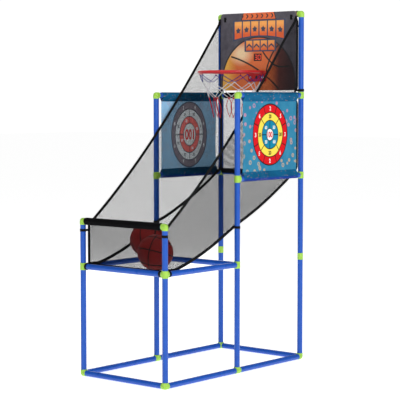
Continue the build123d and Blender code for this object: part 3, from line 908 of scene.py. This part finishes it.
def make_side_net(side, word):
    ys = steps(NET_LOW.y, NET_HIGH.y, NET_COLUMNS)
    rows = [[side_net_point(side, y, z) for z in steps(lower_edge(y), upper_edge(y), NET_ROWS)] for y in ys]
    # The grain of the two nets is turned opposite ways, so that one seen through the other doesn't beat.
    turn = radians(12) * side
    c, s = cos(turn), sin(turn)
    flat = [[(p.y * c - p.z * s, p.y * s + p.z * c) for p in row] for row in rows]
    net = make_sheet(f"side_mesh_{word}", rows, flat, f"side_net_{word}")

    def edge(height, shift):
        return [side_net_point(side, y, height(y), shift) for y in ys]

    front = line((side * NET_X, NET_LOW.y, NET_LOW.z), (side * NET_X, NET_LOW.y, FRONT_TOP_Z))
    rear = [side_net_point(side, NET_HIGH.y, z) - BACK * 0.002 for z in steps(REAR_LOW_Z, NET_HIGH.z, 90)]
    edges = [
        framed(edge(upper_edge, -0.005), Vector((0, -0.71, 0.71))),
        framed(edge(lower_edge, 0.005), Vector((0, -0.4, 0.9))),
        framed(front, BACK),
        framed(rear, BACK),
    ]
    tape = sweep(f"side_mesh_binding_{word}", edges, oval(0.0130, 0.0024))
    width, length = NET_HIGH.y - NET_LOW.y, NET_HIGH.z - NET_LOW.z
    heights = [upper_edge(y) - lower_edge(y) for y in ys]
    width * sum(heights) / len(heights)


def ball_ceiling(x, y):
    """The highest that the ramp can be under the balls at a point."""
    ceiling = 10.0
    for ball in ("ball_front", "ball_rear"):
        centre = middle(ball)
        radius = (high(ball).z - low(ball).z) / 2 + 0.0012
        away = hypot(x - centre.x, y - centre.y)
        if away < radius:
            ceiling = min(ceiling, centre.z - sqrt(radius * radius - away * away))
    return ceiling


RAMP_WEIGHT = 0.55
RAMP_ROUNDS = 2600


def make_ramp():
    """A membrane under light tension: it hangs from its edges and the balls press into it."""
    half = NET_X - 0.001
    xs = steps(-half, half, 66)
    ys = steps(low("ramp_net").y, high("ramp_net").y, 132)
    rise = np.array([lower_edge(y) for y in ys])
    rise[1] = rise[0]
    height = np.repeat(rise[:, None], len(xs), axis=1)
    ceiling = np.array([[ball_ceiling(x, y) for x in xs] for y in ys])
    step_x, step_y = xs[1] - xs[0], ys[1] - ys[0]
    stiffness = 2 / step_x**2 + 2 / step_y**2
    share_x, share_y = 1 / step_x**2 / stiffness, 1 / step_y**2 / stiffness
    for _ in range(RAMP_ROUNDS):
        inner = (
            share_x * (height[1:-1, :-2] + height[1:-1, 2:])
            + share_y * (height[:-2, 1:-1] + height[2:, 1:-1])
            - RAMP_WEIGHT / stiffness
        )
        height[1:-1, 1:-1] = np.minimum(inner, ceiling[1:-1, 1:-1])
    rows, flat = [], []
    travelled = 0.0
    for i, y in enumerate(ys):
        if i:
            travelled += hypot(step_y, height[i][0] - height[i - 1][0])
        rows.append([Vector((x, y, z)) for x, z in zip(xs, height[i])])
        flat.append([(x, travelled) for x in xs])
    ramp = make_sheet("ramp_mesh", rows, flat, "ramp_net")
    edges = [framed(rows[0], BACK), framed(rows[-1], Vector((0, 0.4, -0.9)))]
    tape = sweep("ramp_binding", edges, oval(0.012, 0.0024))


def make_panel(name, node, place, depth, high_z, hem_place, tape_width):
    """An upright net between two posts, hemmed below. depth(x, z, share) is how far it stands behind
    place, where share is 1 at its middle; hem_place is the (y, z) of the hem.
    """
    half = NET_X - 0.001
    low_z = low(node).z
    zs = steps(low_z, high_z, 40)
    rows = [
        [Vector((x, place + depth(x, z, arch((z - low_z) / (high_z - low_z))), z)) for z in zs]
        for x in steps(-half, half, 66)
    ]
    flat = [[(p.x, p.z) for p in row] for row in rows]
    net = make_sheet(name, rows, flat, node)
    hem = [Vector((x, *hem_place)) for x in steps(-half, half, 40)]
    tape = sweep(f"{name}_binding", [framed(hem, UP)], oval(tape_width, 0.0022))


def make_front_and_back_nets():
    y = middle("front_net").y
    make_panel(
        "front_mesh",
        "front_net",
        y,
        lambda x, z, share: (0.004 + flutter((x, y, z), 0.12, 0.0012)) * share,
        high("front_net").z,
        (y, low("front_net").z + 0.003),
        0.007,
    )
    behind = low("back_net").y + 0.0007
    plane_y = NET_HIGH.y + 0.005
    make_panel(
        "back_mesh",
        "back_net",
        plane_y,
        lambda x, z, share: (flutter((x, behind, z), 0.16, 0.0015) - 0.002) * max(share, 0.0),
        UPPER_Z - TUBE_R,
        (plane_y - 0.001, MIDDLE_Z + 0.004),
        0.014,
    )


def sleeve_around(name, start, end, radius):
    """A foam sleeve on a bar: nearly round, with a fell seam in front and soft end hems."""
    axis = (end - start).normalized()
    side, lift = square_to(axis)
    length = (end - start).length
    around, along = 36, max(24, ceil(length / 0.006))
    seam_turn = radians(-90)
    points, places = [], []
    for layer_radius in (radius, TUBE_R + 0.0002):
        for i in range(along + 1):
            distance = i / along * length
            end_round = 1 - min(1.0, min(distance, length - distance) / 0.004)
            for j in range(around):
                angle = 2 * pi * j / around
                r = layer_radius
                if layer_radius == radius:
                    where = Vector((cos(angle) * 2.0, sin(angle) * 2.0, distance / 0.03))
                    soft = noise.noise(where) * 0.0003
                    seam = 0.0004 * max(0.0, cos(angle - seam_turn)) ** 60
                    r += soft + seam - 0.0004 - 0.0006 * end_round**2
                points.append(start + axis * distance + side * (r * cos(angle)) + lift * (r * sin(angle)))
                places.append((distance, angle * radius))
    size = (along + 1) * around
    faces = lattice_faces(along + 1, around, 0, wrap_columns=True)
    faces += [tuple(reversed(f)) for f in lattice_faces(along + 1, around, size, wrap_columns=True)]
    last = along * around
    for j in range(around):
        k = (j + 1) % around
        faces.append((j, size + j, size + k, k))
        faces.append((last + j, last + k, size + last + k, size + last + j))
    return make_piece(name, points, faces, "black_foam", flat=places)


def make_sleeves():
    rail_low, rail_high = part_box("rail_sleeve")
    ends = [Vector((x, FRONT_Y, RAIL_Z)) for x in (rail_low.x, rail_high.x)]
    cover = sleeve_around("rail_cover", *ends, (rail_high.z - rail_low.z) / 2 + 0.002)
    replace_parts(cover, "rail_sleeve")
    ends = [Vector((side * high("back_net").x, REAR_Y, UPPER_Z)) for side in SIDES]
    sleeve_around("back_mesh_sleeve", *ends, high("back_net").z - UPPER_Z)


# ---------------------------------------------------------- target cloths
def cloth_profile():
    """(outward, z) points of the cloth: round the lower bar, up the panel and round the upper bar."""
    radius = TUBE_R + 0.0007
    meet = 0.0247
    lap = 0.0006
    touch = acos(radius / meet)
    turns = steps(-pi / 2 + touch, 3 * pi / 2 - touch, 22)
    return (
        [(-lap, MIDDLE_Z + meet)]
        + [(-radius * cos(t), MIDDLE_Z - radius * sin(t)) for t in turns]
        + [(lap, z) for z in steps(MIDDLE_Z + meet, UPPER_Z - meet, 46)]
        + [(radius * cos(t), UPPER_Z + radius * sin(t)) for t in turns]
        + [(-lap, UPPER_Z - meet)]
    )


def cloth_ripple(side, y, z):
    """How far the panel stands off its plane: soft drag lines from the sleeves and a slight belly."""
    node = "target_cloth_right" if side > 0 else "target_cloth_left"
    inside = arch((z - MIDDLE_Z - SLEEVE_DEPTH) / (UPPER_Z - MIDDLE_Z - 2 * SLEEVE_DEPTH))
    if inside <= 0:
        return 0.0
    along = (y - low(node).y) / (high(node).y - low(node).y)
    free_edge = (2 * abs(along - 0.5)) ** 4
    waves = flutter((side * 3.0, y * 2.2, z * 0.8), 0.10, 0.0032)
    drag = sin(y * 2 * pi / 0.058 + 3 * noise.noise(Vector((y * 9, z * 5, side)))) * 0.0006
    return (waves + drag + 0.0012 * free_edge) * min(1.0, inside * 1.6)


def make_target_cloth(side, word):
    node = f"target_cloth_{word}"
    front_y, rear_y = low(node).y, high(node).y
    profile = cloth_profile()
    rows, flat = [], []
    for y in steps(front_y, rear_y, 88):
        from_middle = 2 * (y - front_y) / (rear_y - front_y) - 1
        row, places = [], []
        travelled, before = 0.0, profile[0]
        for out, z in profile:
            # The side hems pull in between the two bars.
            pull_in = 0.0016 * arch(held((z - MIDDLE_Z) / (UPPER_Z - MIDDLE_Z))) * from_middle**3
            x = side * (HALF_WIDTH + out + cloth_ripple(side, y, z))
            row.append(Vector((x, y - pull_in, z)))
            travelled += hypot(out - before[0], z - before[1])
            before = (out, z)
            places.append((y, travelled))
        rows.append(row)
        flat.append(places)
    if side < 0:
        rows.reverse()
        flat.reverse()
    inks = [PRINT[(word, 0)], PRINT[(word, 1)]]
    cloth = make_shell(f"target_sheet_{word}", rows, flat, 0.0005, "target_cloth", inks)
    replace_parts(cloth, node)
    make_numbers(side, word)


def number_finish(name, colour, face):
    # Painted light: the numbers on the inside glow like the cloth, standing in for daylight coming through
    # it.
    s = Shader(name, specular_ior_level=0.1, emission_strength=PAINTED_GLOW_THROUGH[face])
    weave = s.y.wave(WEAVE) * s.z.wave(WEAVE)
    worn = s.mix(weave.over(0.3, 0.6) * 0.12, colour, INK)
    return s.finish(worn, roughness=weave * 0.04 + 0.6, bump=weave, glows=True)


NUMBER_INKS = {
    "white": (WHITE, (226, 230, 234)), "black": (INK, (74, 78, 88)), "red": ((222, 34, 40), (222, 84, 84))
}
# Numbers on each target: ring radius as a share, turn of the first, figures clockwise, height, ink
NUMBERS = {
    "right": (
        (0.865, 90, ("2", "5", "3", "6", "2", "5", "3", "6"), 0.016, "white"),
        (0.60, 90, ("20", "30", "20", "30"), 0.015, "black"),
        (0.335, 45, ("50", "60", "50", "60"), 0.013, "white"),
        (0.0, 0, ("100",), 0.022, "red"),
    ),
    "left": (
        (0.895, 67.5, ("5", "8", "6", "9", "5", "8", "6", "9"), 0.014, "white"),
        (0.675, 67.5, ("10", "20", "10", "20", "10", "20", "10", "20"), 0.012, "black"),
        (0.455, 67.5, ("30", "50", "30", "50"), 0.011, "white"),
        (0.0, 0, ("100",), 0.042, "red"),
    ),
}


def figure_mesh(text, height):
    """Flat outline mesh of a number in the built-in typeface, centred, in its own plane."""
    curve = bpy.data.curves.new("figure", "FONT")
    curve.body = text
    curve.size = height * 1.38
    curve.offset = height * 0.045
    curve.align_x = "CENTER"
    curve.align_y = "CENTER"
    curve.resolution_u = 5
    curve.extrude = 0.00006
    holder = put_in_scene("figure", curve)
    bpy.context.view_layer.update()
    mesh = bpy.data.meshes.new_from_object(holder.evaluated_get(bpy.context.evaluated_depsgraph_get()))
    bpy.data.objects.remove(holder)
    points = [v.co.copy() for v in mesh.vertices]
    faces = [tuple(f.vertices) for f in mesh.polygons]
    bpy.data.meshes.remove(mesh)
    xs, ys, _ = zip(*points)
    middle_x, middle_y = (min(xs) + max(xs)) / 2, (min(ys) + max(ys)) / 2
    return [(p.x - middle_x, p.y - middle_y, p.z) for p in points], faces


def make_numbers(side, word):
    """Printed numbers, laid on both faces of the cloth: they show through reversed on the inside."""
    centre_y = middle(f"target_cloth_{word}").y
    style = TARGETS[word]
    made = []
    for face, lift in ((0, 0.00046), (1, -0.00046)):
        by_ink = {}
        for share, turn, figures, height, ink in NUMBERS[word]:
            all_points, all_faces = by_ink.setdefault(ink, ([], []))
            for index, figure in enumerate(figures):
                angle = radians(turn - 360 / len(figures) * index)
                points, faces = figure_mesh(figure, height)
                out = share * style["radius"]
                start = len(all_points)
                for px, pz, depth in points:
                    y = centre_y + side * (px * 0.92 + out * cos(angle)) * style["squeeze"]
                    z = CLOTH_MIDDLE_Z + style["rise"] + out * sin(angle) + pz
                    x = HALF_WIDTH + 0.0006 + cloth_ripple(side, y, z) + lift + depth
                    all_points.append(Vector((side * x, y, z)))
                all_faces += [tuple(start + i for i in f) for f in faces]
        for ink, (points, faces) in by_ink.items():
            name = f"target_numbers_{word}_{FACES[face]}_{ink}"
            finish = number_finish(name, NUMBER_INKS[ink][face], face)
            made.append(make_piece(name, points, faces, "target_cloth", [finish], smooth=False))
    return made


# -------------------------------------------------------- ties and straps
def tie_run(centre, axis, turn):
    """One turn of webbing round a tube, whose end lies over its start."""
    side, lift = square_to(axis)
    overlap = radians(70)
    points = []
    for wound in steps(0, 2 * pi + overlap, 44):
        r = TUBE_R + 0.0008 + 0.0011 * max(0.0, wound - 2 * pi) / overlap
        points.append(centre + side * (r * cos(turn + wound)) + lift * (r * sin(turn + wound)))
    return framed(points, axis)


def make_ties():
    runs = []
    for index, (box_low, box_high) in enumerate(solids("net_ties")):
        size = box_high - box_low
        thin = min(range(3), key=lambda k: size[k])
        runs.append(tie_run((box_low + box_high) / 2, (ACROSS, BACK, UP)[thin], radians(40 + 53 * index)))
    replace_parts(sweep("net_ties_webbing", runs, oval(0.010, 0.0009)), "net_ties")
    # Tabs from the tubes to the nets: each from one point to another, and the direction of its width.
    rear_y = NET_HIGH.y - 0.002
    tabs = []
    for side in SIDES:
        for y, z in ((FRONT_Y, RAIL_Z - 0.035), (MID_Y, MID_TIE_Z)):
            post = (side * (HALF_WIDTH - TUBE_R - 0.0008), y + (0.004 if y < 0 else 0.0), z)
            tabs.append((post, (side * (NET_X + 0.0012), max(y, NET_LOW.y) + 0.003, z + 0.001), UP))
        x, y, z = side * (HALF_WIDTH - 0.020), FRONT_Y + TUBE_R + 0.0008, TABLE_Z + 0.002
        tabs.append(((x, y, z), (x, y + 0.008, z + 0.001), ACROSS))
        z = UPPER_Z + 0.020
        tabs.append(
            (
                (side * (HALF_WIDTH - 0.006), REAR_Y - TUBE_R + 0.001, z),
                (side * (NET_X + 0.001), rear_y, z),
                UP,
            )
        )
        z = TOP_Z - 0.050
        post = (side * (HALF_WIDTH - 0.006), REAR_Y - TUBE_R + 0.001, z)
        tabs.append((post, (side * (NET_X + 0.0057), rear_y + 0.006, z), UP))
    runs = [framed(line(start, end, 0.002), width) for start, end, width in tabs]
    sweep("net_tie_tabs", runs, oval(0.009, 0.0010))


def make_board_straps():
    """A strap through each slot of the board, round the top tube and closed on itself."""
    board_y = low("backboard").y
    slot_z = TOP_Z - 0.013
    radius = TUBE_R + 0.0008
    loop = [(REAR_Y + radius * cos(t), TOP_Z + radius * sin(t)) for t in steps(-2.2, pi / 2, 30)]
    loop += [(REAR_Y - 0.006, TOP_Z + TUBE_R), (board_y + 0.0068, TOP_Z + 0.008)]
    through = [(board_y + 0.0052, slot_z + 0.001), (board_y + 0.002, slot_z - 0.0005)]
    through += [(board_y - 0.0009, slot_z - 0.003)]
    front = [(board_y - 0.0009, z) for z in steps(slot_z + 0.010, slot_z - 0.010, 8)]
    runs = []
    for side in SIDES:
        x = side * (high("board_straps").x - 0.006)
        for path in (loop + through[:1], front, through):
            runs.append(framed([(x, *point) for point in path], ACROSS))
    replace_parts(sweep("board_strap_webbing", runs, oval(0.0120, 0.0012)), "board_straps")


# ------------------------------------------------------- hoop and its net
RING_R = 0.1325
WIRE_R = 0.0055
RING = Vector((0, low("hoop_ring").y + RING_R + WIRE_R, high("hoop_ring").z - WIRE_R))
HOOKS = 8
HOOK_TIP_Z = RING.z - 0.0115


def ring_point(angle, radius, z):
    return Vector((RING.x + radius * cos(angle), RING.y + radius * sin(angle), z))


def outward(point):
    return Vector((point.x - RING.x, point.y - RING.y, 0)).normalized()


def make_ring():
    around = [ring_point(t, RING_R, RING.z) for t in steps(0, 2 * pi, 129)[:-1]]
    rim = sweep("hoop_rim", [framed(around, UP, closed=True)], circle(WIRE_R, 16), "red_hoop", closed=True)
    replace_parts(rim, "hoop_ring")
    hooks = []
    curl = 0.0032
    for k in range(HOOKS):
        angle = radians((k + 0.5) * 360 / HOOKS)
        path = [ring_point(angle, RING_R - 0.001, RING.z - drop) for drop in (0.003, 0.0075)]
        for t in steps(radians(180), radians(395), 12):
            path.append(ring_point(angle, RING_R + 0.0022 + curl * cos(t), RING.z - 0.0085 + curl * sin(t)))
        hooks.append(framed(path, Vector((-sin(angle), cos(angle), 0))))
    sweep("hoop_hooks", hooks, circle(0.0013, 8), "red_hoop")
    arms = []
    bracket_y = low("hoop_bracket").y
    for side in SIDES:
        start = (side * 0.030, RING.y + sqrt(RING_R**2 - 0.030**2), RING.z)
        arms.append(framed(line(start, (side * 0.024, bracket_y + 0.001, RING.z - 0.002), 0.003), UP))
    sweep("hoop_arms", arms, oval(0.009, 0.009, 16, 0.75), "red_hoop", swell=lambda t: 1.0 + 0.5 * t**3)


def make_hoop_net():
    """Eight columns of diamonds that hang from the hooks and end in long narrow loops."""
    pitch = 2 * pi / HOOKS
    levels = (
        (HOOK_TIP_Z, RING_R + 0.001, 0.5), (1.135, 0.116, 0.0), (1.105, 0.104, 0.5), (1.072, 0.090, 0.0)
    )
    runs = []

    def strand(a, b, sag):
        out = outward(a.lerp(b, 0.5)) * 0.0012
        return [a.lerp(b, t) - UP * (sag * arch(t)) + out * sin(pi * t) for t in steps(0, 1, 11)]

    for (top_z, top_r, top_turn), (low_z, low_r, _) in zip(levels, levels[1:]):
        for k in range(HOOKS):
            for shift in (-0.5, 0.5):
                a = ring_point((k + top_turn) * pitch, top_r, top_z)
                b = ring_point((k + top_turn + shift) * pitch, low_r, low_z)
                runs.append(framed(strand(a, b, 0.0016), outward))
    # The loops: two strands from each lowest knot, swinging apart and closing at the bottom.
    loop_z = low("hoop_net").z + 0.003
    for k in range(HOOKS):
        for shift in (-1, 1):
            path = []
            for t in steps(0, 1, 26):
                spread = 0.16 * sin(pi * min(t * 1.05, 1.0)) ** 0.8 * shift
                wander = 0.03 * noise.noise(Vector((k * 1.7, t * 1.5, 0.0)))
                z = levels[-1][0] + (loop_z - levels[-1][0]) * t
                radius = levels[-1][1] + (0.071 - levels[-1][1]) * t
                path.append(ring_point((k + spread + wander) * pitch, radius, z))
            runs.append(framed(path, outward))
    net = sweep(
        "hoop_net_cords",
        runs,
        circle(0.0014, 8),
        "net_cord",
        swell=lambda t: 1.0 + 0.7 * max(abs(2 * t - 1) - 0.86, 0) / 0.14,
    )
    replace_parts(net, "hoop_net")


# ------------------------------------------------------------------ balls
def seam_distance(p):
    """Distance from a point of the unit ball to its nearest seam."""
    bowed = abs(sqrt(p.y * p.y + p.z * p.z * 0.62 + 0.0001) - 0.62)
    return min(abs(p.x), abs(p.z), bowed)


def make_ball(name, pole, spin):
    """A moulded ball: a subdivided cube drawn out to a sphere, with the seams pressed in.
    Its two round seams cross at the pole.
    """
    turn = pole.to_track_quat("Y", "Z").to_matrix() @ Matrix.Rotation(spin, 3, "Y")
    centre = middle(name)
    radius = (high(name).z - low(name).z) / 2
    cuts = 72
    # The tangent spreads the grid of a cube's face evenly over the sphere.
    grid = [tan(t * pi / 4) for t in steps(-1, 1, cuts + 1)]
    points, faces, marks = [], [], []
    index_of = {}
    groove, depth = 0.036, 0.0018

    def vertex(direction):
        key = tuple(round(c, 6) for c in direction)
        if key not in index_of:
            index_of[key] = len(points)
            p = Vector(direction).normalized()
            off = seam_distance(p)
            points.append(p * (radius - depth * sqrt(max(0.0, 1 - (off / groove) ** 2))))
            marks.append(off)
        return index_of[key]

    for axis in range(3):
        for sign in SIDES:
            for i in range(cuts):
                for j in range(cuts):
                    corners = []
                    for di, dj in ((0, 0), (1, 0), (1, 1), (0, 1)):
                        direction = Vector((0, 0, 0))
                        direction[axis] = sign
                        direction[(axis + 1) % 3] = grid[i + di] * sign
                        direction[(axis + 2) % 3] = grid[j + dj]
                        corners.append(vertex(direction.normalized()))
                    faces.append(tuple(corners))
    ball = make_piece(f"{name}_skin", points, faces, "ball_rubber", body=name, marks=marks)
    ball.parent = None
    ball.matrix_world = Matrix.Translation(centre) @ turn.to_4x4()
    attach(ball, name)
    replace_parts(ball, name)


# ---------------------------------------------------------------- display
def make_display():
    """Seven-segment figures, a hair proud of the display's face."""
    face_y = low("digit_display").y - 0.0002
    centre_z = middle("digit_display").z
    width, height, bar = 0.0112, 0.0180, 0.0021
    # The bars that both figures have, each from one (x, z) corner to another, then the rest of each.
    both = ((-1, 1, 1, 1), (1, 1, 1, 0), (1, 0, 1, -1), (1, -1, -1, -1))
    three, nought = ((-1, 0, 1, 0),), ((-1, -1, -1, 0), (-1, 0, -1, 1))
    points, faces = [], []
    for x, rest in ((-0.0085, three), (0.0085, nought)):
        for x0, z0, x1, z1 in both + rest:
            a = Vector((x + x0 * width / 2, face_y, centre_z + z0 * height / 2))
            b = Vector((x + x1 * width / 2, face_y, centre_z + z1 * height / 2))
            along = (b - a).normalized()
            side = Vector((-along.z, 0, along.x)) * bar / 2
            a, b = a + along * 0.0003, b - along * 0.0003
            tip = along * bar / 2
            outline = [a, a + tip + side, b - tip + side, b, b - tip - side, a + tip - side]
            start = len(points)
            points += outline + [p + BACK * 0.0004 for p in outline]
            faces.append(tuple(start + k for k in range(5, -1, -1)))
            faces.append(tuple(start + 6 + k for k in range(6)))
            for k in range(6):
                ahead = (k + 1) % 6
                faces.append((start + k, start + ahead, start + 6 + ahead, start + 6 + k))
    s = Shader("lit_segments", emission_strength=0.9)
    glow = s.noise(0.004, detail=2)
    colour = s.mix(glow, (222, 48, 34), (250, 84, 60))
    lit = s.finish(colour, roughness=glow * 0.1 + 0.3, glows=True)
    make_piece("display_figures", points, faces, "display_face", [lit], smooth=False)


# ------------------------------------------------------- build everything
for part in frame["record"]["subparts"]:
    finish = FINISH.get(part["material_slot"])
    if finish is not None:
        materials = frame["nodes"][part["node"]].data.materials
        materials.clear()
        materials.append(finish)

make_ties()
make_sleeves()
for side, word in zip(SIDES, ("left", "right")):
    make_side_net(side, word)
    make_target_cloth(side, word)
make_ramp()
make_front_and_back_nets()
make_board_straps()
make_ring()
make_hoop_net()
make_display()
make_ball("ball_front", Vector((0.36, -0.90, 0.24)), radians(80))
make_ball("ball_rear", Vector((0.05, -0.62, 0.78)), radians(20))


# ------------------------------------------------- floor, light, camera
def make_floor():
    """Pale and slightly lit from within, so that it meets the white room without a visible edge."""
    size = 30.0
    mesh = bpy.data.meshes.new("floor")
    corners = [(-size, -size, 0), (size, -size, 0), (size, size, 0), (-size, size, 0)]
    mesh.from_pydata(corners, [], [(0, 1, 2, 3)])
    floor = put_in_scene("floor", mesh)
    s = Shader("floor", emission_strength=0.72, specular_ior_level=0.0)
    s.surface.inputs["Emission Color"].default_value = (1, 1, 1, 1)
    tone = s.noise(0.8, detail=2)
    colour = s.mix(tone, (0.94, 0.94, 0.94, 1), (0.96, 0.96, 0.96, 1))
    mesh.materials.append(s.finish(colour, roughness=tone * 0.02 + 0.9))


OBJECT_MIDDLE = (0, 0, 0.75)


def make_light(name, place, size, power):
    """A soft box that faces the middle of the object; size in metres, power in watts."""
    data = bpy.data.lights.new(name, "AREA")
    data.shape = "RECTANGLE"
    data.size, data.size_y = size
    data.energy = power
    lamp = put_in_scene(name, data)
    lamp.location = place
    lamp.rotation_mode = "QUATERNION"
    lamp.rotation_quaternion = (Vector(OBJECT_MIDDLE) - Vector(place)).to_track_quat("-Z", "Y")


make_floor()
make_light("right_softbox", (4.4, -1.7, 2.5), (1.2, 3.0), 112)
make_light("left_softbox", (-0.4, -4.6, 2.0), (0.6, 3.0), 22)
make_light("rear_softbox", (-2.6, 2.8, 2.6), (1.6, 2.4), 30)
make_light("top_softbox", (0, 0, 4.2), (3.0, 3.0), 32)

# The room is white to the eye and dimmer as a light, so dark cloth keeps its depth.
ROOM_LIGHT, ROOM_SEEN = 0.28, 1.05
world = bpy.data.worlds.new("studio")
bpy.context.scene.world = world
world.use_nodes = True
tree = world.node_tree
seen = tree.nodes.new("ShaderNodeLightPath").outputs["Is Camera Ray"]
strength = tree.nodes.new("ShaderNodeMapRange")
strength.inputs["To Min"].default_value = ROOM_LIGHT
strength.inputs["To Max"].default_value = ROOM_SEEN
tree.links.new(seen, strength.inputs["Value"])
tree.links.new(strength.outputs[0], tree.nodes["Background"].inputs["Strength"])
tree.nodes["Background"].inputs["Color"].default_value = (1, 1, 1, 1)
bpy.context.scene.view_settings.view_transform = "Standard"

# The camera was solved from the crossings of the straight tubes.
LENS_MM = 132.19
SENSOR_MM = 36.0
CAMERA_PLACE = (3.7576, -4.4196, 1.0704)
CAMERA_DOWN, CAMERA_TURN = radians(3.96), radians(40.18)
camera_data = bpy.data.cameras.new("camera")
camera_data.lens = LENS_MM
camera_data.sensor_width = SENSOR_MM
camera = put_in_scene("camera", camera_data)
camera.location = CAMERA_PLACE
camera.rotation_euler = (pi / 2 - CAMERA_DOWN, 0, CAMERA_TURN)
bpy.context.scene.camera = camera
